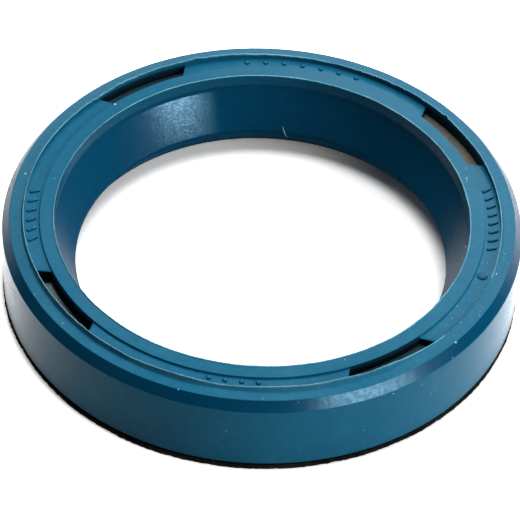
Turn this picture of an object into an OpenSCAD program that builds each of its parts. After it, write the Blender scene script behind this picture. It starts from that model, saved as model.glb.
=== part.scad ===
// Radial shaft seal lying with its air side up.
// A rubber body carries the sealing lip, a steel ring stiffens the body from inside,
// and a garter spring in the lip's groove loads the sealing edge.

/* [Fit] */
// Shaft that the lip runs on
shaft_d = 36; // [24:1:60]
// Radial height of the section, from the shaft to the housing bore
section_h = 6; // [5.5:0.25:8]
// Width along the axis
seal_w = 8; // [7:0.5:12]
// Radial squeeze of the free lip on the shaft
lip_preload = 0.7; // [0.4:0.05:1]

/* [Air-side face] */
// Radial size of the air-side chamfer
air_chamfer_r = 0.7; // [0.4:0.05:0.9]
// Axial size of the air-side chamfer
air_chamfer_h = 0.92; // [0.5:0.02:1.4]
// Flat width of the outer rim
rim_w = 1.25; // [0.9:0.05:1.5]
// Flat width of the inner rim
inner_rim_w = 1.3; // [0.9:0.05:1.6]
// Depth of the groove between the rims
groove_d = 0.25; // [0.1:0.05:0.5]
// Rubber over the steel ring under the groove
cover_t = 0.8; // [0.4:0.05:1]

/* [Face pockets] */
// Number of pockets around the groove
pocket_n = 4; // [2:1:8]
// Arc of a pocket along its outer wall, in degrees
pocket_arc = 25; // [12:1:40]
// Arc that a pocket loses on its way to its inner wall, in degrees
pocket_taper = 4.3; // [0:0.1:8]
// Direction of the first pocket, in degrees
pocket_turn = 33.85; // [0:0.05:90]
// Ledge between a wall of the groove and a wall of a pocket
pocket_ledge = 0.06; // [0.05:0.01:0.2]

/* [Lip] */
// Height of the sealing edge above the oil-side face
edge_h = 2.5; // [2.2:0.1:3]
// Height of the flat band at the sealing edge
lip_land = 0.4; // [0.2:0.05:0.6]
// Gap between the shaft and the air-side opening
bore_gap = 1.25; // [1:0.05:1.5]
// Height of the straight band under the air-side opening
band_h = 1.3; // [0.6:0.02:1.6]
// Inward step of that band over its height
band_step = 0.05; // [0.02:0.01:0.2]
// Height of the lip's tip above the oil-side face
tip_h = 0.6; // [0.3:0.05:0.9]
// Radial run of the oil-side flank
flank_w = 1.07; // [0.8:0.01:1.3]
// Bevel at the outside of the lip's tip
tip_bevel = 0.4; // [0.2:0.05:0.6]
// Rubber between the sealing edge and the spring
head_t = 1.1; // [0.9:0.05:1.4]
// Rubber thickness of the flexing neck
neck_t = 1; // [0.7:0.05:1.3]

/* [Oil-side rim] */
// Radial size of the oil-side chamfer
oil_chamfer_r = 0.3; // [0.2:0.05:0.5]
// Axial size of the oil-side chamfer
oil_chamfer_h = 0.6; // [0.3:0.05:1]
// Bevel at the mouth of the oil-side hollow
mouth_bevel = 0.25; // [0.1:0.05:0.4]

/* [Steel ring] */
// Sheet thickness
steel_t = 0.8; // [0.6:0.05:1]
// Rubber outside the ring's sleeve
skin_t = 0.9; // [0.7:0.05:1.1]
// Rubber lining inside the ring
lining_t = 0.3; // [0.2:0.05:0.5]
// Rubber below the ring's sleeve
foot_t = 0.9; // [0.5:0.05:1.4]
// Inside radius of the ring's bend
bend_r = 0.2; // [0.1:0.05:0.4]
// Steel reaching past a pocket's inner wall
flange_lap = 0.45; // [0.2:0.05:0.6]

/* [Garter spring] */
// Outside diameter of the coil
coil_d = 1.7; // [1.3:0.05:1.9]
// Shift of the spring from the sealing edge towards the air side
spring_shift = 0.4; // [0.2:0.05:0.6]
// Rubber reaching past the spring's centre line
ridge_over = 0.25; // [0.1:0.05:0.4]
// Rubber above the spring's groove
ridge_t = 0.15; // [0.1:0.05:0.3]

/* [Nodes] */
// Piece to show

/* [Hidden] */
$fn = 144;
cut_over = 1;
rubber_blue = [0.12, 0.38, 0.5];
steel_grey = [0.52, 0.5, 0.47];
spring_grey = [0.66, 0.66, 0.65];
shaft_r = shaft_d / 2;
od_r = shaft_r + section_h;
lip_r = shaft_r - lip_preload;
bore_r = shaft_r + bore_gap;
groove_out_r = od_r - air_chamfer_r - rim_w;
groove_in_r = bore_r + inner_rim_w;
groove_z = seal_w - groove_d;
flange_top = groove_z - cover_t;
flange_bottom = flange_top - steel_t;
flange_in_r = groove_in_r - flange_lap;
sleeve_out_r = od_r - skin_t;
sleeve_in_r = sleeve_out_r - steel_t;
bend_out_r = bend_r + steel_t;
hollow_r = sleeve_in_r - lining_t;
hollow_top = flange_bottom - lining_t;
band_z = seal_w - band_h;
band_r = bore_r - band_step;
land_top = edge_h + lip_land / 2;
land_bottom = edge_h - lip_land / 2;
coil_r = coil_d / 2;
spring_z = edge_h + spring_shift;
spring_r = lip_r + head_t + coil_r;
ridge_r = spring_r + ridge_over;
ridge_z = spring_z + coil_r + ridge_t;
neck_z = (hollow_top + ridge_z) / 2;
cone_slope = (band_r - lip_r) / (band_z - land_top);
neck_r = lip_r + (neck_z - land_top) * cone_slope + neck_t;
root_r = max(flange_in_r + lining_t, neck_r);

// Full section of the body before the steel and the spring are taken out
module body_section() {
    polygon([
        [hollow_r + mouth_bevel, 0],
        [od_r - oil_chamfer_r, 0],
        [od_r, oil_chamfer_h],
        [od_r, seal_w - air_chamfer_h],
        [od_r - air_chamfer_r, seal_w],
        [groove_out_r, seal_w],
        [groove_out_r, groove_z],
        [groove_in_r, groove_z],
        [groove_in_r, seal_w],
        [bore_r, seal_w],
        [band_r, band_z],
        [lip_r, land_top],
        [lip_r, land_bottom],
        [lip_r + flank_w, tip_h],
        [ridge_r - tip_bevel, tip_h],
        [ridge_r, tip_h + tip_bevel],
        [ridge_r, ridge_z],
        [neck_r, neck_z],
        [root_r, hollow_top],
        [hollow_r, hollow_top],
        [hollow_r, mouth_bevel]
    ]);
}

// L-shaped section of the steel ring with a rounded bend
module insert_section() {
    bend_x = sleeve_out_r - bend_out_r;
    bend_y = flange_top - bend_out_r;
    translate([flange_in_r, flange_bottom])
        square([bend_x - flange_in_r, steel_t]);
    translate([sleeve_in_r, foot_t])
        square([steel_t, bend_y - foot_t]);
    intersection() {
        translate([bend_x, bend_y])
            square(bend_out_r);
        difference() {
            translate([bend_x, bend_y])
                circle(bend_out_r);
            translate([bend_x, bend_y])
                circle(bend_r);
        }
    }
}

// Round section of the closed coil
module spring_section() {
    translate([spring_r, spring_z])
        circle(coil_r);
}

// Point at a radius and an angle, and a point further out on the line through two points
function at(r, a) = [r * cos(a), r * sin(a)];
function beyond(p, q, run) = q + (q - p) / norm(q - p) * run;

// One face pocket: a stretch of the groove's floor with slanted ends, open down to the steel
module pocket() {
    outer_r = groove_out_r - pocket_ledge;
    inner_r = groove_in_r + pocket_ledge;
    outer_half = pocket_arc / 2;
    inner_half = (pocket_arc - pocket_taper) / 2;
    in_a = at(inner_r, -inner_half);
    in_b = at(inner_r, inner_half);
    out_a = at(outer_r, -outer_half);
    out_b = at(outer_r, outer_half);
    sink = steel_t / 2;
    pocket_h = sink + cover_t + groove_d + cut_over;
    translate([0, 0, flange_top - sink])
        intersection() {
            difference() {
                cylinder(r = outer_r, h = pocket_h);
                translate([0, 0, -cut_over])
                    cylinder(r = inner_r, h = pocket_h + 2 * cut_over);
            }
            linear_extrude(pocket_h)
                polygon([
                    beyond(out_a, in_a, cut_over),
                    beyond(in_a, out_a, cut_over),
                    beyond(in_b, out_b, cut_over),
                    beyond(out_b, in_b, cut_over)
                ]);
        }
}

module rubber_body() {
    color(rubber_blue)
        difference() {
            rotate_extrude()
                difference() {
                    body_section();
                    insert_section();
                    spring_section();
                }
            for (i = [0 : pocket_n - 1])
                rotate([0, 0, pocket_turn + i * 360 / pocket_n])
                    pocket();
        }
}

module steel_insert() {
    color(steel_grey)
        rotate_extrude()
            insert_section();
}

module garter_spring() {
    color(spring_grey)
        rotate_extrude()
            spring_section();
}

rubber_body();
steel_insert();
garter_spring();
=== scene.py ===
import math

import bmesh
import bpy
import numpy as np
from mathutils import Matrix, Vector


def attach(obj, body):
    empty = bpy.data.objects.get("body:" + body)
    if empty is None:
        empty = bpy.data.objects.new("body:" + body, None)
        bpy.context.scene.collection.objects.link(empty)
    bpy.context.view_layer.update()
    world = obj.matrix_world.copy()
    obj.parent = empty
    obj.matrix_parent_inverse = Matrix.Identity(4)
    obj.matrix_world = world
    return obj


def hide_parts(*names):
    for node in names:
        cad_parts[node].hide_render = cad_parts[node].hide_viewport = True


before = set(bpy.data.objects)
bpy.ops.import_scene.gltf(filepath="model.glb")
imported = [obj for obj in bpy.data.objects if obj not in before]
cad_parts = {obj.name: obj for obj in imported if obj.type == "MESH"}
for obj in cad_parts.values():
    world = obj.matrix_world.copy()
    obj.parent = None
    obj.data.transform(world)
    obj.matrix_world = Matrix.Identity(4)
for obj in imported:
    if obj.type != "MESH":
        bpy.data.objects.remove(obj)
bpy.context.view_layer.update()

mm = 0.001  # every size below is in millimetres
tau = 2 * math.pi
print("frame loaded")


# A closed chain of corners becomes a chain of arcs: each arc has its corner's radius and touches
# both sides, and long straights get a point just inside each end so that shading stays flat
def roundedLoop(corners, support=0.03):
    spots = np.array([c[:2] for c in corners], float)
    before = np.roll(spots, 1, 0) - spots
    after = np.roll(spots, -1, 0) - spots
    before /= np.linalg.norm(before, axis=1, keepdims=True)
    after /= np.linalg.norm(after, axis=1, keepdims=True)
    half = np.arccos(np.clip((before * after).sum(1), -1, 1)) / 2
    arcs = []
    for k, (radius, steps) in enumerate(c[2:] for c in corners):
        bisector = before[k] + after[k]
        bisector /= np.linalg.norm(bisector)
        centre = spots[k] + bisector * radius / math.sin(half[k])
        reach = radius / math.tan(half[k])
        first = spots[k] + before[k] * reach - centre
        last = spots[k] + after[k] * reach - centre
        start = math.atan2(first[1], first[0])
        sweep = (math.atan2(last[1], last[0]) - start + math.pi) % tau - math.pi
        angles = start + sweep * np.linspace(0, 1, steps + 1)
        arcs.append(centre + radius * np.stack([np.cos(angles), np.sin(angles)], 1))
    points, owner = [], []
    for k, arc in enumerate(arcs):
        points.extend(arc)
        owner.extend([k] * len(arc))
        run = arcs[(k + 1) % len(arcs)][0] - arc[-1]
        length = np.linalg.norm(run)
        if length > 5 * support:
            points.append(arc[-1] + run * support / length)
            points.append(arc[-1] + run * (1 - support / length))
            owner.extend([-1, -1])
    return np.array(points), np.array(owner)


# Index quads of a grid of rows by columns, closed both ways or only across its columns
def gridFaces(rows, columns, closedRows):
    i = np.arange(rows if closedRows else rows - 1)[:, None]
    j = np.arange(columns)[None, :]
    below, above = i * columns, ((i + 1) % rows) * columns
    right = (j + 1) % columns
    return np.stack([below + j, below + right, above + right, above + j], -1)


# A mesh from points in millimetres and quads; points closer than the weld are made one,
# which closes poles and ends
def addMesh(name, points, faces, material, sharpDegrees=40, weld=0.0):
    mesh = bpy.data.meshes.new(name)
    faces = np.asarray(faces, np.int32).reshape(-1, 4)
    mesh.vertices.add(len(points))
    mesh.vertices.foreach_set("co", (np.asarray(points, float) * mm).astype(np.float32).ravel())
    mesh.loops.add(faces.size)
    mesh.loops.foreach_set("vertex_index", faces.ravel())
    mesh.polygons.add(len(faces))
    mesh.polygons.foreach_set("loop_start", np.arange(0, faces.size, 4, dtype=np.int32))
    mesh.update(calc_edges=True)
    mesh.validate()
    if weld:
        shell = bmesh.new()
        shell.from_mesh(mesh)
        bmesh.ops.remove_doubles(shell, verts=shell.verts, dist=weld * mm)
        shell.to_mesh(mesh)
        shell.free()
    mesh.polygons.foreach_set("use_smooth", np.ones(len(mesh.polygons), bool))
    mesh.set_sharp_from_angle(angle=math.radians(sharpDegrees))
    piece = bpy.data.objects.new(name, mesh)
    bpy.context.scene.collection.objects.link(piece)
    mesh.materials.append(material)
    return piece


# A value at each point or face corner of a piece, which its material reads by name
def addShare(piece, name, values, domain="POINT"):
    layer = piece.data.attributes.new(name, "FLOAT", domain)
    layer.data.foreach_set("value", np.asarray(values, np.float32))


# Smooth noise round a ring: a sum of sine waves of rising count with random phase, near -1 to 1
def ringNoise(turns, seed, lowest, highest, fall):
    random = np.random.default_rng(seed)
    counts = np.arange(lowest, highest + 1)
    sizes = counts ** -fall
    phases = random.uniform(0, tau, len(counts))
    waves = np.sin(counts[:, None] * turns[None, :] + phases[:, None]) * sizes[:, None]
    total = waves.sum(0)
    return total / (np.abs(total).max() + 1e-9)


# Bell curve of an angle about a centre, both in degrees, that wraps round the ring
def bell(degrees, centre, width):
    away = (degrees - centre + 180) % 360 - 180
    return np.exp(-(away / width) ** 2)


# Sum of bell curves, each given as centre, width and height
def bells(degrees, table):
    return sum(height * bell(degrees, centre, width) for centre, width, height in table)


# Points at a radius, a turn in radians and a height
def aroundAxis(radius, turn, height):
    return np.stack([radius * np.cos(turn), radius * np.sin(turn), height + 0 * turn], -1)


# A node group with its sockets: label and kind, and for an input the value it starts with
def newGroup(name, inputs, outputs):
    tree = bpy.data.node_groups.new(name, "ShaderNodeTree")
    for label, kind, value in inputs:
        socket = tree.interface.new_socket(label, in_out="INPUT", socket_type=kind)
        if value is not None:
            socket.default_value = value
    for label, kind in outputs:
        tree.interface.new_socket(label, in_out="OUTPUT", socket_type=kind)
    return tree, tree.nodes.new("NodeGroupInput"), tree.nodes.new("NodeGroupOutput")


def node(tree, kind, settings=None):
    made = tree.nodes.new(kind)
    for key, value in (settings or {}).items():
        setattr(made, key, value)
    return made


# A number or colour is set on the socket, and anything else is linked into it
def feed(tree, socket, value):
    if isinstance(value, (int, float, tuple)):
        socket.default_value = value
    else:
        tree.links.new(value, socket)


# A value that the mesh carries, by name
def shareNode(tree, name):
    return node(tree, "ShaderNodeAttribute", {"attribute_name": name}).outputs["Fac"]


def noiseNode(tree, vector, scale, detail, roughness):
    made = node(tree, "ShaderNodeTexNoise")
    made.inputs["Scale"].default_value = scale
    made.inputs["Detail"].default_value = detail
    made.inputs["Roughness"].default_value = roughness
    tree.links.new(vector, made.inputs["Vector"])
    return made.outputs["Fac"]


# A value carried from one range to another, by a smooth step or a straight line
def rangeNode(tree, value, fromLow, fromHigh, toLow=0.0, toHigh=1.0, smooth=True):
    kind = "SMOOTHSTEP" if smooth else "LINEAR"
    made = node(tree, "ShaderNodeMapRange", {"interpolation_type": kind})
    ends = {"From Min": fromLow, "From Max": fromHigh, "To Min": toLow, "To Max": toHigh}
    for label, number in ends.items():
        made.inputs[label].default_value = number
    tree.links.new(value, made.inputs["Value"])
    return made.outputs["Result"]


# A smooth step between two distances in millimetres
def reachNode(tree, distance, reach):
    return rangeNode(tree, distance, *(r * mm for r in reach))


def mathNode(tree, operation, first, second):
    made = node(tree, "ShaderNodeMath", {"operation": operation})
    feed(tree, made.inputs[0], first)
    feed(tree, made.inputs[1], second)
    return made.outputs[0]


def mixNode(tree, factor, first, second, blend="MIX"):
    made = node(tree, "ShaderNodeMix", {"data_type": "RGBA", "blend_type": blend})
    for place, value in ((0, factor), (6, first), (7, second)):  # sockets of a colour mix
        feed(tree, made.inputs[place], value)
    return made.outputs[2]


# A normal from a height; the depth is in millimetres
def bumpNode(tree, height, depth, strength):
    made = node(tree, "ShaderNodeBump")
    made.inputs["Distance"].default_value = depth * mm
    feed(tree, made.inputs["Strength"], strength)
    tree.links.new(height, made.inputs["Height"])
    return made.outputs["Normal"]


# Distance of a point from the axis along a direction given in degrees
def alongTurn(tree, place, degrees):
    made = node(tree, "ShaderNodeVectorMath", {"operation": "DOT_PRODUCT"})
    made.inputs[1].default_value = (math.cos(math.radians(degrees)), math.sin(math.radians(degrees)), 0)
    tree.links.new(place, made.inputs[0])
    return made.outputs["Value"]


# A material with its tree, its shader and the place of a point on its piece
def newMaterial(name):
    material = bpy.data.materials.new(name)
    material.use_nodes = True
    tree = material.node_tree
    shader = next(n for n in tree.nodes if n.type == "BSDF_PRINCIPLED")
    place = tree.nodes.new("ShaderNodeTexCoord").outputs["Object"]
    return material, tree, shader, place


# A group placed in a material with its own values
def useGroup(tree, group, place, values):
    made = tree.nodes.new("ShaderNodeGroup")
    made.node_tree = group
    tree.links.new(place, made.inputs["Vector"])
    for label, value in values.items():
        made.inputs[label].default_value = value
    return made


# Moulded rubber: a broad cloudy tone with smaller patches, a mottle for its shine and a height for
# its grain; each noise is given as scale, detail and roughness
mouldPattern = {
    "cloud": (160, 4, 0.6),
    "patch": (1500, 4, 0.65),
    "grain": (6500, 2, 0.6),
    "mottle": (2600, 3, 0.7),
    "cloudRange": (0.35, 0.7),
    "patchRange": (0.45, 0.72),
    "mottleRange": (0.38, 0.64, 0.7, 1.3),
    "patchHeight": 0.5,
}
mouldTone, groupIn, groupOut = newGroup(
    "mouldTone",
    [("Vector", "NodeSocketVector", None), ("Color", "NodeSocketColor", (0.01, 0.1, 0.2, 1)),
     ("Bloom", "NodeSocketColor", (0.1, 0.25, 0.33, 1)), ("Bloom Share", "NodeSocketFloat", 0.15)],
    [("Color", "NodeSocketColor"), ("Cloud", "NodeSocketFloat"), ("Mottle", "NodeSocketFloat"),
     ("Height", "NodeSocketFloat")])
cloud = noiseNode(mouldTone, groupIn.outputs["Vector"], *mouldPattern["cloud"])
patch = noiseNode(mouldTone, groupIn.outputs["Vector"], *mouldPattern["patch"])
grain = noiseNode(mouldTone, groupIn.outputs["Vector"], *mouldPattern["grain"])
mottle = noiseNode(mouldTone, groupIn.outputs["Vector"], *mouldPattern["mottle"])
cloudMask = rangeNode(mouldTone, cloud, *mouldPattern["cloudRange"])
patchMask = rangeNode(mouldTone, patch, *mouldPattern["patchRange"])
bothMasks = mathNode(mouldTone, "ADD", cloudMask, patchMask)
bloomMask = mathNode(mouldTone, "MULTIPLY", bothMasks, groupIn.outputs["Bloom Share"])
bloomed = mixNode(mouldTone, bloomMask, groupIn.outputs["Color"], groupIn.outputs["Bloom"])
patchHeight = mathNode(mouldTone, "MULTIPLY", patch, mouldPattern["patchHeight"])
mouldTone.links.new(bloomed, groupOut.inputs["Color"])
mouldTone.links.new(cloudMask, groupOut.inputs["Cloud"])
mouldTone.links.new(rangeNode(mouldTone, mottle, *mouldPattern["mottleRange"]), groupOut.inputs["Mottle"])
mouldTone.links.new(mathNode(mouldTone, "ADD", patchHeight, grain), groupOut.inputs["Height"])

# Fine dust: small round specks, each cell of the pattern holding one of its own size or none
dustPattern = {"cells": 900, "largest": 0.09}
dustFall, groupIn, groupOut = newGroup(
    "dustFall",
    [("Vector", "NodeSocketVector", None), ("Amount", "NodeSocketFloat", 0.2)],
    [("Mask", "NodeSocketFloat")])
speckCells = node(dustFall, "ShaderNodeTexVoronoi", {"feature": "F1"})
speckCells.inputs["Scale"].default_value = dustPattern["cells"]
dustFall.links.new(groupIn.outputs["Vector"], speckCells.inputs["Vector"])
cellTone = node(dustFall, "ShaderNodeSeparateColor")
dustFall.links.new(speckCells.outputs["Color"], cellTone.inputs["Color"])
chosen = mathNode(dustFall, "LESS_THAN", cellTone.outputs["Red"], groupIn.outputs["Amount"])
reach = mathNode(dustFall, "MULTIPLY", cellTone.outputs["Green"], dustPattern["largest"])
near = mathNode(dustFall, "LESS_THAN", speckCells.outputs["Distance"], reach)
dustFall.links.new(mathNode(dustFall, "MULTIPLY", chosen, near), groupOut.inputs["Mask"])

# Steel with a film of rust in clouds, warmer in spots, and fine dark pits
rustPattern = {
    "cloud": (700, 5, 0.65),
    "grain": (5200, 3, 0.6),
    "spots": (1900, 3, 0.6),
    "cloudRange": (0.2, 0.42),
    "spotRange": (0.48, 0.66),
    "pitRange": (0.3, 0.75, 0.0, 0.35),
    "pit": (0.02, 0.02, 0.02, 1),
}
rustFilm, groupIn, groupOut = newGroup(
    "rustFilm",
    [("Vector", "NodeSocketVector", None), ("Steel", "NodeSocketColor", (0.2, 0.2, 0.19, 1)),
     ("Rust", "NodeSocketColor", (0.17, 0.185, 0.17, 1)), ("Warm", "NodeSocketColor", (0.3, 0.19, 0.1, 1)),
     ("Rust Share", "NodeSocketFloat", 0.6)],
    [("Color", "NodeSocketColor"), ("Mask", "NodeSocketFloat"), ("Height", "NodeSocketFloat")])
rustCloud = noiseNode(rustFilm, groupIn.outputs["Vector"], *rustPattern["cloud"])
rustGrain = noiseNode(rustFilm, groupIn.outputs["Vector"], *rustPattern["grain"])
rustSpots = noiseNode(rustFilm, groupIn.outputs["Vector"], *rustPattern["spots"])
rustClouds = rangeNode(rustFilm, rustCloud, *rustPattern["cloudRange"])
rustMask = mathNode(rustFilm, "MULTIPLY", rustClouds, groupIn.outputs["Rust Share"])
warmMask = rangeNode(rustFilm, rustSpots, *rustPattern["spotRange"])
rustTone = mixNode(rustFilm, warmMask, groupIn.outputs["Rust"], groupIn.outputs["Warm"])
steelTone = mixNode(rustFilm, rustMask, groupIn.outputs["Steel"], rustTone)
pitMask = rangeNode(rustFilm, rustGrain, *rustPattern["pitRange"])
rustFilm.links.new(mixNode(rustFilm, pitMask, steelTone, rustPattern["pit"]), groupOut.inputs["Color"])
rustFilm.links.new(rustMask, groupOut.inputs["Mask"])
rustFilm.links.new(rustGrain, groupOut.inputs["Height"])
print("shader groups made")

# The body's rubber: the mesh says where shade is painted into its colour, as a darker tone or as
# near black on the pocket walls, and where it is duller, polished or coarser; the foot is painted dark by
# its height
rubberLook = {
    "tone": {"Color": (0.007, 0.127, 0.235, 1), "Bloom": (0.02, 0.165, 0.28, 1), "Bloom Share": 0.38},
    "dust": (0.62, 0.7, 0.72, 1),
    "dustFall": {"Amount": 0.035},
    # painted shade: the colour that shaded parts of the rubber are multiplied by
    "deep": (0.15, 0.42, 0.5, 1),
    "roughRange": (0.12, 0.27),
    "lipRough": 0.5,
    "matteRough": 0.45,
    # painted shade: the foot is darkened to near black between these heights
    "footShadeFade": (0.55, 0.4),
    "foot": (0.004, 0.009, 0.014, 1),
    # painted shade: the near-black colour of the pocket walls
    "paintedPocketShade": (0.008, 0.026, 0.042, 1),
    "grainRange": (0.08, 0.35),
    "grainDepth": 0.05,
    "specularTint": (0.45, 0.9, 1.0, 1),
    "ior": 1.1,
    "polishIor": 1.8,
    "polishRough": 0.24,
    "polishGrain": (4500, 3, 0.65),
    "polishDepth": 0.04,
}
rubber, tree, shader, place = newMaterial("blueRubber")
tone = useGroup(tree, mouldTone, place, rubberLook["tone"])
dust = useGroup(tree, dustFall, place, rubberLook["dustFall"])
# painted shade: the colour is multiplied darker where the mesh's share asks for it
shadeColour = mixNode(tree, 1.0, tone.outputs["Color"], rubberLook["deep"], "MULTIPLY")
shadedTone = mixNode(tree, shareNode(tree, "paintedShade"), tone.outputs["Color"], shadeColour)
dusty = mixNode(tree, dust.outputs["Mask"], shadedTone, rubberLook["dust"])
# painted shade on the pocket walls
pocketShaded = mixNode(tree, shareNode(tree, "paintedPocketShade"), dusty, rubberLook["paintedPocketShade"])
# painted shade at the foot, below about half a millimetre, standing in for the shaded chamfer
heightAt = node(tree, "ShaderNodeSeparateXYZ")
tree.links.new(place, heightAt.inputs["Vector"])
footShadeMask = reachNode(tree, heightAt.outputs["Z"], rubberLook["footShadeFade"])
tree.links.new(mixNode(tree, footShadeMask, pocketShaded, rubberLook["foot"]), shader.inputs["Base Color"])
lipSide = shareNode(tree, "lipSide")
cloudRough = rangeNode(tree, tone.outputs["Cloud"], 0, 1, *rubberLook["roughRange"], False)
lipRough = mathNode(tree, "ADD", cloudRough, mathNode(tree, "MULTIPLY", lipSide, rubberLook["lipRough"]))
matteRough = mathNode(tree, "MULTIPLY", shareNode(tree, "matte"), rubberLook["matteRough"])
tree.links.new(mathNode(tree, "ADD", lipRough, matteRough), shader.inputs["Roughness"])
grainBy = rangeNode(tree, lipSide, 0, 1, *rubberLook["grainRange"], False)
grainNormal = bumpNode(tree, tone.outputs["Height"], rubberLook["grainDepth"], grainBy)
tree.links.new(grainNormal, shader.inputs["Normal"])
# the polish has its own grain, so that its shine breaks up
polishGrain = noiseNode(tree, place, *rubberLook["polishGrain"])
polishNormal = bumpNode(tree, polishGrain, rubberLook["polishDepth"], grainBy)
tree.links.new(polishNormal, shader.inputs["Coat Normal"])
polished = mathNode(tree, "MULTIPLY", shareNode(tree, "polish"), tone.outputs["Mottle"])
tree.links.new(polished, shader.inputs["Coat Weight"])
shader.inputs["Coat IOR"].default_value = rubberLook["polishIor"]
shader.inputs["Coat Roughness"].default_value = rubberLook["polishRough"]
shader.inputs["IOR"].default_value = rubberLook["ior"]
shader.inputs["Specular Tint"].default_value = rubberLook["specularTint"]

# Flash: pale where the rubber was torn, with a painted highlight along its crest, and plain below
flashLook = {
    "tone": {"Color": (0.1, 0.34, 0.45, 1), "Bloom": (0.29, 0.56, 0.65, 1), "Bloom Share": 0.45},
    "plain": (0.004, 0.115, 0.21, 1),
    "rough": 0.5,
}
flashRubber, tree, shader, place = newMaterial("flashRubber")
tone = useGroup(tree, mouldTone, place, flashLook["tone"])
flashTone = mixNode(tree, shareNode(tree, "paleTornAndLit"), flashLook["plain"], tone.outputs["Color"])
tree.links.new(flashTone, shader.inputs["Base Color"])
shader.inputs["Roughness"].default_value = flashLook["rough"]
shader.inputs["IOR"].default_value = rubberLook["ior"]

# painted shadow: the skirt is near black to stand in for the contact shadow under the foot, with a little
# olive flash in it
footFlashLook = {
    "tone": {"Color": (0.008, 0.011, 0.011, 1), "Bloom": (0.07, 0.07, 0.04, 1), "Bloom Share": 0.3},
    "rough": 0.6,
}
footShadeRubber, tree, shader, place = newMaterial("footShadeRubber")
tone = useGroup(tree, mouldTone, place, footFlashLook["tone"])
tree.links.new(tone.outputs["Color"], shader.inputs["Base Color"])
shader.inputs["Roughness"].default_value = footFlashLook["rough"]
shader.inputs["IOR"].default_value = rubberLook["ior"]

# The steel ring: rusty towards one side, with a thin film of rubber at both ends of another direction
steelLook = {
    "film": {"Steel": (0.0095, 0.0145, 0.0165, 1)},
    "rough": 0.2,
    "rustTurn": 33.85,
    "rustReach": (-6, 6),
    "rubberFilm": (0.03, 0.07, 0.1, 1),
    "filmTurn": -56.15,
    "filmReach": (9, 15),
    "filmRough": 0.5,
    "grainStrength": 0.15,
    "grainDepth": 0.03,
}
sheetSteel, tree, shader, place = newMaterial("sheetSteel")
film = useGroup(tree, rustFilm, place, steelLook["film"])
rustSide = reachNode(tree, alongTurn(tree, place, steelLook["rustTurn"]), steelLook["rustReach"])
tree.links.new(rustSide, film.inputs["Rust Share"])
filmSide = mathNode(tree, "ABSOLUTE", alongTurn(tree, place, steelLook["filmTurn"]), 0)
filmMask = reachNode(tree, filmSide, steelLook["filmReach"])
filmed = mixNode(tree, filmMask, film.outputs["Color"], steelLook["rubberFilm"])
tree.links.new(filmed, shader.inputs["Base Color"])
covered = mathNode(tree, "MAXIMUM", film.outputs["Mask"], filmMask)
tree.links.new(rangeNode(tree, covered, 0, 1, 1, 0, False), shader.inputs["Metallic"])
steelRough = rangeNode(tree, covered, 0, 1, steelLook["rough"], steelLook["filmRough"], False)
tree.links.new(steelRough, shader.inputs["Roughness"])
shader.inputs["IOR"].default_value = rubberLook["ior"]
steelNormal = bumpNode(tree, film.outputs["Height"], steelLook["grainDepth"], steelLook["grainStrength"])
tree.links.new(steelNormal, shader.inputs["Normal"])

wireLook = {"film": {"Steel": (0.55, 0.55, 0.54, 1), "Rust Share": 0.12}, "rough": 0.3}
wireSteel, tree, shader, place = newMaterial("wireSteel")
film = useGroup(tree, rustFilm, place, wireLook["film"])
tree.links.new(film.outputs["Color"], shader.inputs["Base Color"])
shader.inputs["Metallic"].default_value = 1.0
shader.inputs["Roughness"].default_value = wireLook["rough"]

lintLook = {"tone": {"Color": (0.42, 0.66, 0.76, 1), "Bloom": (0.7, 0.8, 0.82, 1)}, "rough": 0.8}
lint, tree, shader, place = newMaterial("lint")
tone = useGroup(tree, mouldTone, place, lintLook["tone"])
tree.links.new(tone.outputs["Color"], shader.inputs["Base Color"])
shader.inputs["Roughness"].default_value = lintLook["rough"]
print("materials made")

# The rubber body. Its section is a rounded chain of corners carried round the axis; the pockets are
# left out of the groove's floor and of the roof of the steel ring's hollow, and walls join the two.
# Stretches of a finish are given as centre and width in degrees, and a share
bodyShape = {
    "height": 8.0,
    "outerR": 24.0,
    "oilChamfer": (0.3, 0.6),
    "airChamfer": (0.7, 0.92),
    "grooveR": (20.55, 22.05),
    "grooveDepth": 0.25,
    "boreR": 19.25,
    "bandH": 1.3,
    "bandStep": 0.05,
    "lipR": 17.3,
    "edgeH": 2.5,
    "land": 0.4,
    "tipH": 0.6,
    "tipBevel": 0.4,
    "flankW": 1.07,
    "ridgeR": 19.5,
    "ridgeT": 0.15,
    "hollowR": 22.0,
    "hollowTop": 5.85,
    "mouthBevel": 0.25,
    "neck": (19.33, 4.875),
    "rootR": 20.4,
    "springR": 19.25,
    "springZ": 2.9,
    "coilR": 0.85,
    "grooveSteps": 10,
    "pocketTurn": 33.85,
    "pocketHalf": (10.35, 12.5),
    "pocketCount": 4,
    "wornReach": 0.5,
    "wornDip": 0.05,
    "chamferPolish": [(293.5, 15.5, 1.2), (178, 14, 0.3), (2, 16, 0.4)],
    "lipPolish": [(117, 14, 1.3), (194, 12, 0.2), (352, 14, 0.3)],
    "lipDull": (80, 106, 3),
    "wallPolish": [(188, 24, 0.4), (355, 24, 0.4)],
    "wallShade": [(150, 22, 0.65)],
    "matteReach": (140, 50),
    "lipFadeR": (0.02, 0.1),
    "lipFadeZ": (1.2, 0.4),
    # painted shade: rows between two corners of the section, and the share of darkening
    "paintedShade": [("wallTop", "rimOut", 1), ("grooveOut", "floorOut", 0.35), ("floorIn", "grooveIn", 0.35),
                 ("boreTop", "flankTip", 1), ("boreTop", "bandFoot", 0.6)],
}
insertShape = {
    "flangeR": 20.1,
    "sleeveR": (22.3, 23.1),
    "top": 6.95,
    "thick": 0.8,
    "foot": 0.9,
    "bendR": 0.2,
    "bendSteps": 7,
}
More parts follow.
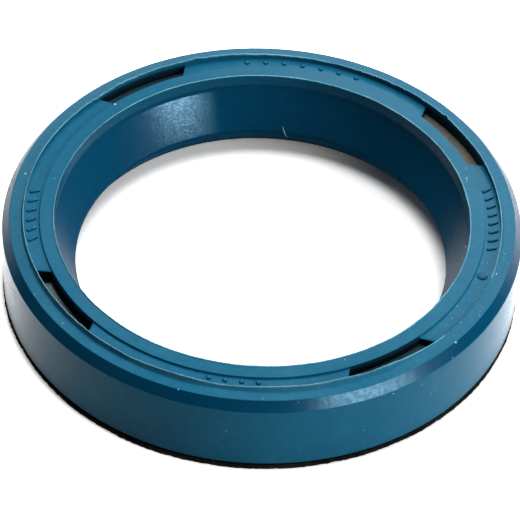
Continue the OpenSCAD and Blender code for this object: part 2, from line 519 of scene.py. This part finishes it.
# columns of one pocket's stretch of the ring: counts, and degrees beside a pocket's end
columnPlan = {"inside": 27, "outside": 60, "beside": (0.1, 0.25, 0.5), "clear": 1.2}
# places of some corners in the list that bodyCorners returns
cornerAt = {"wallFoot": 2, "wallTop": 3, "rimOut": 4, "grooveOut": 5, "floorOut": 6, "floorIn": 7,
            "grooveIn": 8, "boreTop": 9, "bandFoot": 10, "lipTop": 11, "flankTip": 13}


# Corners of the section, each as radius, height, rounding and steps of its arc
def bodyCorners(s):
    top, outer = s["height"], s["outerR"]
    innerR, grooveR = s["grooveR"]
    floorZ = top - s["grooveDepth"]
    half = s["land"] / 2
    mouth = math.acos((s["ridgeR"] - s["springR"]) / s["coilR"])
    turns = -mouth - (tau - 2 * mouth) * np.linspace(0, 1, s["grooveSteps"])
    spring = [(s["springR"] + s["coilR"] * math.cos(a), s["springZ"] + s["coilR"] * math.sin(a), 0.06, 1)
              for a in turns]
    return [
        (s["hollowR"] + s["mouthBevel"], 0, 0.08, 2),
        (outer - s["oilChamfer"][0], 0, 0.1, 3),
        (outer, s["oilChamfer"][1], 0.15, 3),
        (outer, top - s["airChamfer"][1], 0.12, 4),
        (outer - s["airChamfer"][0], top, 0.07, 4),
        (grooveR, top, 0.04, 4),
        (grooveR, floorZ, 0.07, 4),
        (innerR, floorZ, 0.07, 4),
        (innerR, top, 0.06, 4),
        (s["boreR"], top, 0.06, 4),
        (s["boreR"] - s["bandStep"], top - s["bandH"], 1.2, 8),
        (s["lipR"], s["edgeH"] + half, 0.05, 3),
        (s["lipR"], s["edgeH"] - half, 0.05, 3),
        (s["lipR"] + s["flankW"], s["tipH"], 0.12, 4),
        (s["ridgeR"] - s["tipBevel"], s["tipH"], 0.12, 3),
        (s["ridgeR"], s["tipH"] + s["tipBevel"], 0.12, 3),
        *spring,
        (s["ridgeR"], s["springZ"] + s["coilR"] + s["ridgeT"], 0.08, 3),
        (*s["neck"], 0.8, 4),
        (s["rootR"], s["hollowTop"], 0.3, 4),
        (s["hollowR"], s["hollowTop"], 0.25, 4),
        (s["hollowR"], s["mouthBevel"], 0.06, 2),
    ]


# Column angles of one pocket's stretch of the ring, closer together just outside the pocket's ends
def columnSpan(plan, half, span):
    inside = np.linspace(-half, half, plan["inside"])
    beside = np.array(plan["beside"])
    outside = np.linspace(half + plan["clear"], span - half - plan["clear"], plan["outside"])
    return np.concatenate([inside, half + beside, outside, span - half - beside[::-1]])


# Section of the hollow for the steel ring; its roof has a point under each row of the groove's floor
def hollowLoop(insert, roofRows):
    flangeR, roof, thick = insert["flangeR"], insert["top"], insert["thick"]
    sleeveIn, sleeveOut = insert["sleeveR"]
    bendIn, bendOut = insert["bendR"], insert["bendR"] + thick
    arc = np.linspace(math.pi / 2, 0, insert["bendSteps"])
    back = arc[::-1]
    bendZ = roof - bendOut
    outerBend = np.stack([sleeveOut - bendOut + bendOut * np.cos(arc), bendZ + bendOut * np.sin(arc)], 1)
    innerBend = np.stack([sleeveIn - bendIn + bendIn * np.cos(back), bendZ + bendIn * np.sin(back)], 1)
    return np.concatenate([
        [[flangeR, roof]], np.stack([roofRows, np.full(len(roofRows), roof)], 1), outerBend,
        [[sleeveOut, insert["foot"]], [sleeveIn, insert["foot"]]], innerBend, [[flangeR, roof - thick]]])


# A point is at its row's radius and height and at its column's turn; two such grids, the outside and the
# hollow, share their columns, so that each pocket is the same run of columns left out of both
def makeBody(s, insert, plan, material):
    count = s["pocketCount"]
    span = 360 / count
    innerHalf, outerHalf = s["pocketHalf"]
    innerR, grooveR = s["grooveR"]
    local = columnSpan(plan, outerHalf, span)
    overCut = np.abs(local) <= outerHalf + 1e-9
    columns = len(local) * count

    # a column's own angle at each radius: pocket ends slant, and the rest shares the turn left over
    def turnAt(radius):
        blend = np.clip((radius - innerR) / (grooveR - innerR), 0, 1)[:, None]
        half = innerHalf + (outerHalf - innerHalf) * blend
        column = local[None, :]
        inside = column * half / outerHalf
        outside = half + (column - outerHalf) * (span - 2 * half) / (span - 2 * outerHalf)
        angle = np.where(overCut, inside, outside)
        starts = s["pocketTurn"] + span * np.arange(count)
        return np.radians(starts[None, :, None] + angle[:, None, :]).reshape(len(radius), -1)

    # rows from one corner of the section to another, without the rounding of either
    def between(start, end):
        rowsOf = [np.flatnonzero(owner == cornerAt[name]) for name in (start, end)]
        return slice(rowsOf[0][-1], rowsOf[1][0] + 1)

    outerLoop, owner = roundedLoop(bodyCorners(s))
    floorRows = between("floorOut", "floorIn")
    first, last = floorRows.start, floorRows.stop - 1
    turn = turnAt(outerLoop[:, 0])
    degrees = np.degrees(turn)
    height = outerLoop[:, 1:] + 0 * turn

    # pocket ends dip a little, as a worn edge
    column = np.tile(local, count)
    inPocket = np.tile(overCut, count)
    atEnd = np.abs(np.abs(column) - outerHalf) < 1e-6
    beyond = np.minimum(column - outerHalf, span - outerHalf - column)
    worn = np.clip(1 - beyond / s["wornReach"], 0, 1) ** 2
    dip = np.where(inPocket, np.where(atEnd, 1.0, 0.0), worn)
    height[first + 1:last] -= s["wornDip"] * dip[None, :]
    outerPoints = aroundAxis(outerLoop[:, :1], turn, height).reshape(-1, 3)

    hollow = hollowLoop(insert, outerLoop[first:last + 1][::-1, 0])
    hollowTurn = turnAt(hollow[:, 0])
    hollowPoints = aroundAxis(hollow[:, :1], hollowTurn, hollow[:, 1:]).reshape(-1, 3)

    rows, hollowRows = len(outerLoop), len(hollow)
    depth = last - first
    cut = inPocket & np.roll(inPocket, -1)
    keepOuter = np.ones((rows, columns), bool)
    keepOuter[first:last] = ~cut[None, :]
    keepHollow = np.ones((hollowRows, columns), bool)
    keepHollow[1:1 + depth] = ~cut[None, :]
    outerFaces = gridFaces(rows, columns, True)[keepOuter]
    hollowFaces = gridFaces(hollowRows, columns, True)[keepHollow]
    shift = len(outerPoints)

    # pocket walls: the rim of the cut in the floor, joined straight down to the rim of the cut in the roof
    walls = []
    width = int(inPocket.sum() // count)
    for k in range(count):
        a = k * len(local)
        b = a + width - 1
        ring = ([(0, j) for j in range(a, b)] + [(i, b) for i in range(depth)]
                + [(depth, j) for j in range(b, a, -1)] + [(i, a) for i in range(depth, 0, -1)])
        ring = np.array(ring)
        upper = (first + ring[:, 0]) * columns + ring[:, 1]
        lower = shift + (1 + depth - ring[:, 0]) * columns + ring[:, 1]
        walls.append(np.stack([upper, np.roll(upper, -1), np.roll(lower, -1), lower], 1))
    faces = np.concatenate([outerFaces, shift + hollowFaces, *walls])
    skin = addMesh("rubberSkin", np.concatenate([outerPoints, hollowPoints]), faces, material)

    # a share at each point of the outside, and none in the hollow
    def addOuterShare(name, grid):
        addShare(skin, name, np.concatenate([grid.ravel(), np.zeros(len(hollowPoints))]))

    # coarser mould texture: full on the cone of the lip, none on the face and the outside
    pastBore, fadeR = s["lipFadeR"]
    underFace, fadeZ = s["lipFadeZ"]
    lipRows = np.clip((s["boreR"] + pastBore - outerLoop[:, 0]) / fadeR, 0, 1)
    lipRows = lipRows * np.clip((s["height"] - underFace - outerLoop[:, 1]) / fadeZ, 0, 1)
    addOuterShare("lipSide", np.repeat(lipRows, columns))

    # duller finish: a stretch of the groove's floor and of the rim inside it
    matteGrid = np.zeros((rows, columns))
    dullRows = between("floorOut", "boreTop")
    matteGrid[dullRows] = bell(degrees[dullRows], *s["matteReach"])
    addOuterShare("matte", matteGrid)

    # painted shade: the chamfer, the groove's walls and the inside of the opening are painted darker where
    # they fall into shade, and a stretch of the groove's outer wall is painted darker still
    shadeGrid = np.zeros((rows, columns))
    for start, end, share in s["paintedShade"]:
        shadeGrid[between(start, end)] = share
    outerWall, innerWall = between("grooveOut", "floorOut"), between("floorIn", "grooveIn")
    shadeGrid[outerWall] += bells(degrees[outerWall], s["wallShade"])
    addOuterShare("paintedShade", shadeGrid)

    # polish: stretches of the outside wall, the chamfer and the lip's cone, each fading at its ends
    polishGrid = np.zeros((rows, columns))
    wall, chamfer = between("wallFoot", "wallTop"), between("wallTop", "rimOut")
    cone = between("bandFoot", "lipTop")
    for part, stretches in ((wall, "wallPolish"), (chamfer, "chamferPolish"), (cone, "lipPolish")):
        polishGrid[part] += bells(degrees[part], s[stretches])
    # the lip's shine ends sharply on one side
    dullFrom, dullTo, fade = s["lipDull"]
    coneTurn = degrees[cone] % 360
    sharpEnd = np.clip((coneTurn - dullTo) / fade + 0.5, 0, 1)
    polishGrid[cone] *= np.where(coneTurn > dullFrom, sharpEnd, 1)
    addOuterShare("polish", polishGrid)

    # painted shade: the pocket walls and the groove's walls above them are painted near black, face by
    # face in the mesh's order
    overPocket = np.zeros((rows, columns))
    overPocket[outerWall.start:first] = cut
    overPocket[last:innerWall.stop - 1] = cut
    wallCount = sum(len(wallFaces) for wallFaces in walls)
    shadedWall = np.concatenate([overPocket[keepOuter], np.zeros(len(hollowFaces)), np.ones(wallCount)])
    addShare(skin, "paintedPocketShade", np.repeat(shadedWall, 4), "CORNER")
    return skin


body = makeBody(bodyShape, insertShape, columnPlan, rubber)
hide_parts("rubber_body")
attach(body, "root")
print("rubber body made")

# Thin flash left by the mould: a low fin round an edge, its height, lean and thickness changing round
# the ring. A noise is given as lowest and highest wave count and fall, and a stretch as centre, width
# and share; a row of the section as thicknesses across, shares of height and lean, and paleness, which is
# partly torn rubber and partly painted highlight on the crest and painted light on the outer side
flashPattern = {
    "ragged": (60, 420, 0.25),
    "wave": (2, 40, 0.6),
    "thick": (5, 90, 0.5),
    "lean": (3, 60, 0.5),
    "waveShare": 0.35,
    "thickShare": 0.3,
    "leanShare": 0.8,
    "calm": [(262, 45, 0.7)],
    "thin": [(168, 24, 0.4), (215, 20, 0.3), (90, 45, -0.3)],
    "section": [(-0.5, None, 0.0, 0.0), (-0.5, 0.5, 0.5, 0.0), (-0.5, 0.86, 0.86, 0.4),
                (-0.42, 0.97, 1.0, 1.0), (0.42, 1.0, 1.0, 1.0), (0.5, 0.85, 0.85, 0.5),
                (0.6, 0.45, 0.4, 0.15)],
    "flarePale": 0.1,
    "columns": 1800,
}
outerFlash = {
    "radius": 22.06,
    "inset": 0.06,
    "foot": 7.9,
    "thick": 0.1,
    "height": 0.44,
    "sunk": 0.02,
    "lean": -0.03,
    "ragged": 0.26,
    "flare": 3.5,
    "level": 1.0,
    "trimmed": [(330, 20, 1.3), (155, 26, 0.2), (84, 18, 0.36)],
    "swells": [(109, 2, 0.25), (39, 0.7, 0.45), (115, 8, 0.1)],
    "seed": 3,
}
boreFlash = {
    "radius": 19.27,
    "inset": 0.0,
    "foot": 7.9,
    "thick": 0.1,
    "height": 0.09,
    "sunk": 0.01,
    "lean": -0.05,
    "ragged": 0.8,
    "flare": 0.6,
    "level": 0.7,
    "trimmed": [],
    "swells": [(5, 16, 0.9), (200, 30, 0.4), (330, 8, 0.3)],
    "seed": 8,
}


# At each turn a row's radius is the edge's plus its shares of the thickness and the lean there, and its
# height is the face plus its share of the fin's height there, which noise and stretches change
def makeFlash(name, f, p, top, material):
    columns = p["columns"]
    degrees = np.arange(columns) * 360 / columns
    turn = np.radians(degrees)
    ragged = ringNoise(turn, f["seed"], *p["ragged"]) * (1 - bells(degrees, p["calm"]))
    wave = ringNoise(turn, f["seed"] + 1, *p["wave"])
    thickNoise = ringNoise(turn, f["seed"] + 2, *p["thick"])
    leanNoise = ringNoise(turn, f["seed"] + 3, *p["lean"])
    share = np.clip(f["level"] - bells(degrees, f["trimmed"]), 0, 1) + bells(degrees, f["swells"])
    inset = f["inset"] * (1 - np.clip(share, 0, 1))
    height = share * f["height"] * (1 + p["waveShare"] * wave + f["ragged"] * ragged) - f["sunk"]
    height = np.maximum(height, -f["sunk"])
    thick = f["thick"] * (1 + p["thickShare"] * thickNoise) * (1 - bells(degrees, p["thin"]))
    lean = share * f["lean"] * (1 + p["leanShare"] * leanNoise)
    section = [*p["section"], (f["flare"], None, 0.0, p["flarePale"])]
    rows, pale = [], []
    for across, up, leaning, paleness in reversed(section):
        radius = f["radius"] + inset + across * thick + leaning * lean
        rows.append(aroundAxis(radius, turn, f["foot"] if up is None else top + up * height))
        pale.append(np.full(columns, paleness))
    faces = gridFaces(len(rows), columns, True)[:, :, ::-1]
    fin = addMesh(name, np.concatenate(rows), faces, material, sharpDegrees=60)
    # paleness: torn rubber plus a painted highlight on the crest and painted light on the outer side
    addShare(fin, "paleTornAndLit", np.concatenate(pale))
    return fin


for name, shape in (("grooveFlash", outerFlash), ("boreFlash", boreFlash)):
    fin = makeFlash(name, shape, flashPattern, bodyShape["height"], flashRubber)
    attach(fin, "root")
print("flash made")

# Flash at the foot, dark enough to paint in the contact shadow: a thin ragged skirt on the floor, its
# outer edge changing round the ring
footFlashShadow = {
    "innerR": 23.5,
    "outerR": 24.04,
    "ragged": 0.12,
    "waves": [(3, 30, 0.5), (40, 300, 0.3)],
    "swells": [(255, 45, 0.16)],
    "low": 0.01,
    "top": 0.09,
    "bevel": 0.12,
    "columns": 1440,
    "seed": 21,
}


# Five rings make a flat section whose outer radius is a base plus the mean of two noises and a swell
def makeFootFlashShadow(f, material):
    columns = f["columns"]
    turn = np.arange(columns) * tau / columns
    noise = sum(0.5 * ringNoise(turn, f["seed"] + k, *wave) for k, wave in enumerate(f["waves"]))
    outer = f["outerR"] + f["ragged"] * noise + bells(np.degrees(turn), f["swells"])
    rows = [(f["innerR"], f["low"]), (outer, f["low"]), (outer, 0.5 * f["top"]),
            (outer - f["bevel"], f["top"]), (f["innerR"], f["top"])]
    points = np.concatenate([aroundAxis(radius, turn, height) for radius, height in rows])
    return addMesh("footFlashShadow", points, gridFaces(len(rows), columns, True), material, sharpDegrees=60)


skirt = makeFootFlashShadow(footFlashShadow, footShadeRubber)
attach(skirt, "root")

# Plain moulded marks on the groove's floor and specks of dust: rounded blocks on a grid of two angles,
# a power under one on the sines making the block squarer
blockGrid = 9, 16
faceMarks = {
    "height": 0.17,
    "bareTop": 0.95,
    "shadeGain": 2,
    "dashes": [(351.5, 372.5, 8), (174, 191, 6)],  # first and last angle, and count
    "pips": [(66.5, 95.5, 7, 21.4), (258.5, 270.5, 4, 21.0)],  # the same, and radius
    "dash": (0.5, 0.17),
    "dashPowers": (0.45, 0.5),
    "pip": (0.24, 0.24),
    "pipPowers": (0.6, 1),
    "radius": 21.3,
    "lean": 25,
    "disc": (341.5, 21.25, 0.47),
    "discPowers": (0.35, 1),
    "discHeight": 0.7,
}
dustSpecks = {
    "places": [  # angle, radius, height and size
        (318.8, 23.33, 7.96, 0.11), (331.4, 22.83, 8.0, 0.07), (329.2, 20.75, 7.72, 0.07),
        (342.8, 22.4, 8.0, 0.09), (271.5, 23.06, 8.0, 0.06), (300.2, 24.0, 6.78, 0.07),
        (310.3, 24.0, 4.35, 0.06), (307.5, 24.0, 6.27, 0.06), (279.2, 23.46, 7.78, 0.05),
        (253.1, 23.33, 7.96, 0.07), (220.5, 22.91, 8.0, 0.06), (209.5, 23.18, 8.0, 0.06),
        (264.1, 24.0, 4.46, 0.06), (17.3, 19.81, 8.0, 0.13), (16.2, 19.7, 8.0, 0.09),
        (293.7, 24.0, 3.18, 0.05), (293.2, 19.58, 8.0, 0.06), (169.0, 19.83, 8.0, 0.08),
        (316.4, 23.91, 7.19, 0.06)],
    "sizeRange": (0.6, 1.1),
    "powers": (1.2, 1.2),
    "scatter": {"turns": (320, 352), "radii": (20.7, 23.2), "count": 34, "sizes": (0.02, 0.055),
                "form": (1, 0.7, 0.6)},
    "seed": 5,
}


# A power of a wave that keeps its sign
def signedPower(wave, power):
    return np.sign(wave) * np.abs(wave) ** power


# A block's points: half sizes along, across and up, turned by a lean, at an angle, radius and height;
# the first power squares its sides and the second its outline from above
def blockPoints(size, powers, degrees, radius, height, lean=0.0):
    rows, columns = blockGrid
    tall = np.linspace(-0.5, 0.5, rows) * math.pi
    around = np.arange(columns) / columns * tau
    spread = signedPower(np.maximum(np.cos(tall), 0), powers[0])[:, None]
    along = size[0] * spread * signedPower(np.cos(around), powers[1])[None]
    across = size[1] * spread * signedPower(np.sin(around), powers[1])[None]
    up = size[2] * signedPower(np.sin(tall), powers[0])[:, None] + 0 * along
    slant, turn = math.radians(lean), math.radians(degrees)
    outward = radius + along * math.cos(slant) - across * math.sin(slant)
    sideways = along * math.sin(slant) + across * math.cos(slant)
    return np.stack([outward * math.cos(turn) - sideways * math.sin(turn),
                     outward * math.sin(turn) + sideways * math.cos(turn), height + up], -1).reshape(-1, 3)


# Many blocks in one mesh: the quads of one grid, counted on by a whole grid for each block
def makeBlocks(name, blocks, material):
    rows, columns = blockGrid
    one = gridFaces(rows, columns, False).reshape(-1, 4)
    faces = np.concatenate([one + k * rows * columns for k in range(len(blocks))])
    return addMesh(name, np.concatenate(blocks), faces, material, sharpDegrees=70, weld=1e-3)


# Dashes and pips evenly spaced along their stretches of the groove's floor, and one disc
def markBlocks(m, floorZ):
    dash, pip = (*m["dash"], m["height"]), (*m["pip"], m["height"])
    blocks = []
    for start, end, count in m["dashes"]:
        for degrees in np.linspace(start, end, count):
            blocks.append(blockPoints(dash, m["dashPowers"], degrees, m["radius"], floorZ, m["lean"]))
    for start, end, count, radius in m["pips"]:
        for degrees in np.linspace(start, end, count):
            blocks.append(blockPoints(pip, m["pipPowers"], degrees, radius, floorZ))
    degrees, radius, size = m["disc"]
    disc = size, size, m["discHeight"] * m["height"]
    blocks.append(blockPoints(disc, m["discPowers"], degrees, radius, floorZ))
    return blocks


# Height of the face at a radius: the groove's floor or a rim
def faceHeight(radius):
    innerR, outerR = bodyShape["grooveR"]
    return bodyShape["height"] - (bodyShape["grooveDepth"] if innerR < radius < outerR else 0)


# A speck of random form and lean at each place, then more scattered evenly over a stretch of the face
def speckBlocks(d):
    random = np.random.default_rng(d["seed"])
    blocks = []
    for degrees, radius, height, size in d["places"]:
        sizes = size * random.uniform(*d["sizeRange"], 3)
        lean = random.uniform(0, 180)
        blocks.append(blockPoints(sizes, d["powers"], degrees, radius, height, lean))
    c = d["scatter"]
    turns = random.uniform(*c["turns"], c["count"])
    radii = random.uniform(*c["radii"], c["count"])
    for degrees, radius in zip(turns, radii):
        sizes = random.uniform(*c["sizes"]) * np.array(c["form"])
        lean = random.uniform(0, 180)
        blocks.append(blockPoints(sizes, d["powers"], degrees, radius, faceHeight(radius), lean))
    return blocks


grooveFloor = bodyShape["height"] - bodyShape["grooveDepth"]
marks = makeBlocks("faceMarks", markBlocks(faceMarks, grooveFloor), rubber)

# painted shade on the sides of the marks, fading towards their tops
spots = np.empty(len(marks.data.vertices) * 3, np.float32)
marks.data.vertices.foreach_get("co", spots)
risen = (spots[2::3] / mm - grooveFloor) / faceMarks["height"]
belowTop = (faceMarks["bareTop"] - risen) / faceMarks["bareTop"]
addShare(marks, "paintedShade", np.clip(belowTop * faceMarks["shadeGain"], 0, 1))
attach(marks, "root")
specks = makeBlocks("dustSpecks", speckBlocks(dustSpecks), lint)
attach(specks, "root")

# A lint fibre on the lip: a thin round section carried along a curve through places given as angle,
# radius and height, and narrowing to a point at both ends
lintFibre = {
    "places": [(84.6, 17.52, 3.16), (84.3, 17.38, 2.9), (83.9, 17.22, 2.6), (83.4, 17.2, 2.3),
               (83.0, 17.42, 1.9)],
    "thick": 0.035,
    "taper": 0.4,
    "steps": 40,
    "sides": 8,
}


# A point is the curve's own plus the radius there times the cosine of its turn round the section sideways
# and the sine upwards; the curve is the cubic nearest the places
def makeFibre(f, material):
    angle, out, height = np.array(f["places"]).T
    spots = aroundAxis(out, np.radians(angle), height)
    share = np.linspace(0, 1, f["steps"])
    bend = np.polynomial.polynomial.polyfit(np.linspace(0, 1, len(spots)), spots, 3)
    path = np.polynomial.polynomial.polyval(share, bend).T
    ahead = np.gradient(path, axis=0)
    ahead /= np.linalg.norm(ahead, axis=1, keepdims=True)
    side = np.cross(ahead, (0, 0, 1))
    side /= np.linalg.norm(side, axis=1, keepdims=True)
    over = np.cross(side, ahead)
    ring = np.arange(f["sides"]) / f["sides"] * tau
    cosine, sine = np.cos(ring)[None, :, None], np.sin(ring)[None, :, None]
    radius = f["thick"] * np.clip(np.sin(share * math.pi), 0, 1) ** f["taper"]
    points = path[:, None] + radius[:, None, None] * (cosine * side[:, None] + sine * over[:, None])
    faces = gridFaces(f["steps"], f["sides"], False)[:, :, ::-1]
    return addMesh("lintFibre", points.reshape(-1, 3), faces, material, sharpDegrees=80, weld=1e-3)


fibre = makeFibre(lintFibre, lint)
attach(fibre, "root")
print("foot flash, marks, specks and fibre made")

# Garter spring: a wire of round section carried along a helix that is itself bent into a ring
coilShape = {
    "ringR": 19.25,
    "ringZ": 2.9,
    "coilR": 0.85,
    "wire": 0.34,
    "turns": 336,
    "perTurn": 14,
    "sides": 6,
}


# A point is the helix's own plus the wire's radius times the cosine of its turn round the wire outwards
# from the coil and the sine sideways
def makeCoil(c, material):
    steps = c["turns"] * c["perTurn"]
    along = np.arange(steps) / steps * tau
    wound = along * c["turns"]
    wireR = c["wire"] / 2
    reach = c["coilR"] - wireR

    # a point of the helix at a turn round the ring and a turn round the coil
    def centreLine(t, w):
        return aroundAxis(c["ringR"] + reach * np.cos(w), t, c["ringZ"] + reach * np.sin(w))

    step = 1e-4
    ahead = centreLine(along + step, wound + step * c["turns"])
    behind = centreLine(along - step, wound - step * c["turns"])
    tangent = ahead - behind
    tangent /= np.linalg.norm(tangent, axis=1, keepdims=True)
    outward = aroundAxis(np.cos(wound), along, np.sin(wound))
    side = np.cross(tangent, outward)
    ring = np.arange(c["sides"]) / c["sides"] * tau
    cosine, sine = np.cos(ring)[:, None, None], np.sin(ring)[:, None, None]
    points = centreLine(along, wound)[None] + wireR * (cosine * outward[None] + sine * side[None])
    faces = gridFaces(c["sides"], steps, True)
    return addMesh("springCoil", points.reshape(-1, 3), faces, material, sharpDegrees=80)


coil = makeCoil(coilShape, wireSteel)
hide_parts("garter_spring")
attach(coil, "root")
print("spring made")

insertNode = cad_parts["steel_insert"]
insertNode.data.materials.clear()
insertNode.data.materials.append(sheetSteel)

# Floor: pale, with glow painted on it for the eye and in reflections: strongest outside the ring, where it
# washes out the ring's cast shadow, weaker inside the ring and weakest on its shaded side, which paints a
# deeper shadow there; and greyer to the light it throws back
floorLook = {
    "seen": (1.5, 1.5, 1.49, 1),
    "bounced": (0.42, 0.42, 0.415, 1),
    "unlifted": (0, 0, 0, 1),
    "liftInside": (0.14, 0.13, 0.115, 1),
    "liftShade": (0.012, 0.01, 0.009, 1),
    "shadeTurn": 0,
    "shadeFrom": (3, 12),
    "liftOutside": (0.95, 0.95, 0.93, 1),
    "liftRadius": (24.0, 24.8),
    "rough": 0.9,
    "half": 2000,
}
floorMaterial, tree, shader, place = newMaterial("paleFloor")
paths = tree.nodes.new("ShaderNodeLightPath")
mirrored = mathNode(tree, "MAXIMUM", paths.outputs["Is Glossy Ray"], paths.outputs["Is Transmission Ray"])
seen = mathNode(tree, "MAXIMUM", paths.outputs["Is Camera Ray"], mirrored)
tree.links.new(mixNode(tree, seen, floorLook["bounced"], floorLook["seen"]), shader.inputs["Base Color"])
fromAxis = node(tree, "ShaderNodeVectorMath", {"operation": "LENGTH"})
tree.links.new(place, fromAxis.inputs[0])
outside = reachNode(tree, fromAxis.outputs["Value"], floorLook["liftRadius"])
shade = reachNode(tree, alongTurn(tree, place, floorLook["shadeTurn"]), floorLook["shadeFrom"])
inside = mixNode(tree, shade, floorLook["liftInside"], floorLook["liftShade"])
lift = mixNode(tree, outside, inside, floorLook["liftOutside"])
tree.links.new(mixNode(tree, seen, floorLook["unlifted"], lift), shader.inputs["Emission Color"])
shader.inputs["Emission Strength"].default_value = 1.0
shader.inputs["Roughness"].default_value = floorLook["rough"]
shader.inputs["Specular IOR Level"].default_value = 0.0
half = floorLook["half"]
floorCorners = [(-half, -half, 0), (half, -half, 0), (half, half, 0), (-half, half, 0)]
floor = addMesh("floor", floorCorners, [[0, 1, 2, 3]], floorMaterial)

# Light: a broad soft box high at the back and a fill from the right light the seal; a card at the back
# and two tinted boxes at the front right show in its gloss alone
lightRig = {
    "lamps": {
        "top": {"at": (25, 105, 345), "size": (330, 300), "power": 1.4},
        "backCard": {"at": (100, 327, 245), "size": (320, 200), "power": 3.4},
        "keyGloss": {"at": (285, -295, 185), "size": (290, 150), "power": 0.62},
        "lipGloss": {"at": (300, -290, 40), "size": (170, 78), "power": 0.38},
        "keyFill": {"at": (370, -175, 140), "size": (230, 240), "power": 1.5},
    },
    "glossOnly": ("backCard", "keyGloss", "lipGloss"),
    "fillOnly": ("keyFill",),
    "tinted": ("keyGloss", "lipGloss"),
    "tint": (0.4, 0.78, 1.0),
    "world": 0.04,
}


# A lamp faces the foot of the axis from its place
def addLight(name, rig):
    spec = rig["lamps"][name]
    data = bpy.data.lights.new(name, "AREA")
    data.shape = "RECTANGLE"
    data.size, data.size_y = (v * mm for v in spec["size"])
    data.energy = spec["power"]
    if name in rig["tinted"]:
        data.color = rig["tint"]
    lamp = bpy.data.objects.new(name, data)
    bpy.context.scene.collection.objects.link(lamp)
    lamp.location = Vector(spec["at"]) * mm
    lamp.rotation_euler = (-lamp.location).to_track_quat("-Z", "Y").to_euler()
    lamp.visible_camera = False
    lamp.visible_glossy = name not in rig["fillOnly"]
    lamp.visible_diffuse = name not in rig["glossOnly"]


for name in lightRig["lamps"]:
    addLight(name, lightRig)
world = bpy.data.worlds.new("studio")
bpy.context.scene.world = world
world.use_nodes = True
sky = next(n for n in world.node_tree.nodes if n.type == "BACKGROUND")
sky.inputs["Color"].default_value = (1, 1, 1, 1)
sky.inputs["Strength"].default_value = lightRig["world"]

# Camera: looks along +Y and down, with the photograph's small roll
cameraShape = {
    "elevation": 44.8,
    "distance": 302,
    "aim": (-0.082, -2.209, 4.295),
    "roll": 2.145,
    "lens": 226.05,
    "sensor": 36,
    "clip": (10, 20000),
}


# The eye is back from the aim by the distance, and the roll turns its right and up about the view
def addCamera(c):
    rise, roll = math.radians(c["elevation"]), math.radians(c["roll"])
    forward = Vector((0, math.cos(rise), -math.sin(rise)))
    flatUp = Vector((0, math.sin(rise), math.cos(rise)))
    flatRight = Vector((1, 0, 0))
    right = math.cos(roll) * flatRight + math.sin(roll) * flatUp
    up = -math.sin(roll) * flatRight + math.cos(roll) * flatUp
    data = bpy.data.cameras.new("view")
    data.sensor_width = c["sensor"]
    data.lens = c["lens"]
    data.clip_start, data.clip_end = (v * mm for v in c["clip"])
    camera = bpy.data.objects.new("view", data)
    bpy.context.scene.collection.objects.link(camera)
    eye = (Vector(c["aim"]) - c["distance"] * forward) * mm
    axes = Matrix((right, up, -forward)).transposed().to_4x4()
    camera.matrix_world = Matrix.Translation(eye) @ axes
    bpy.context.scene.camera = camera


addCamera(cameraShape)
bpy.context.scene.view_settings.view_transform = "Standard"
print("stage, light and camera set")
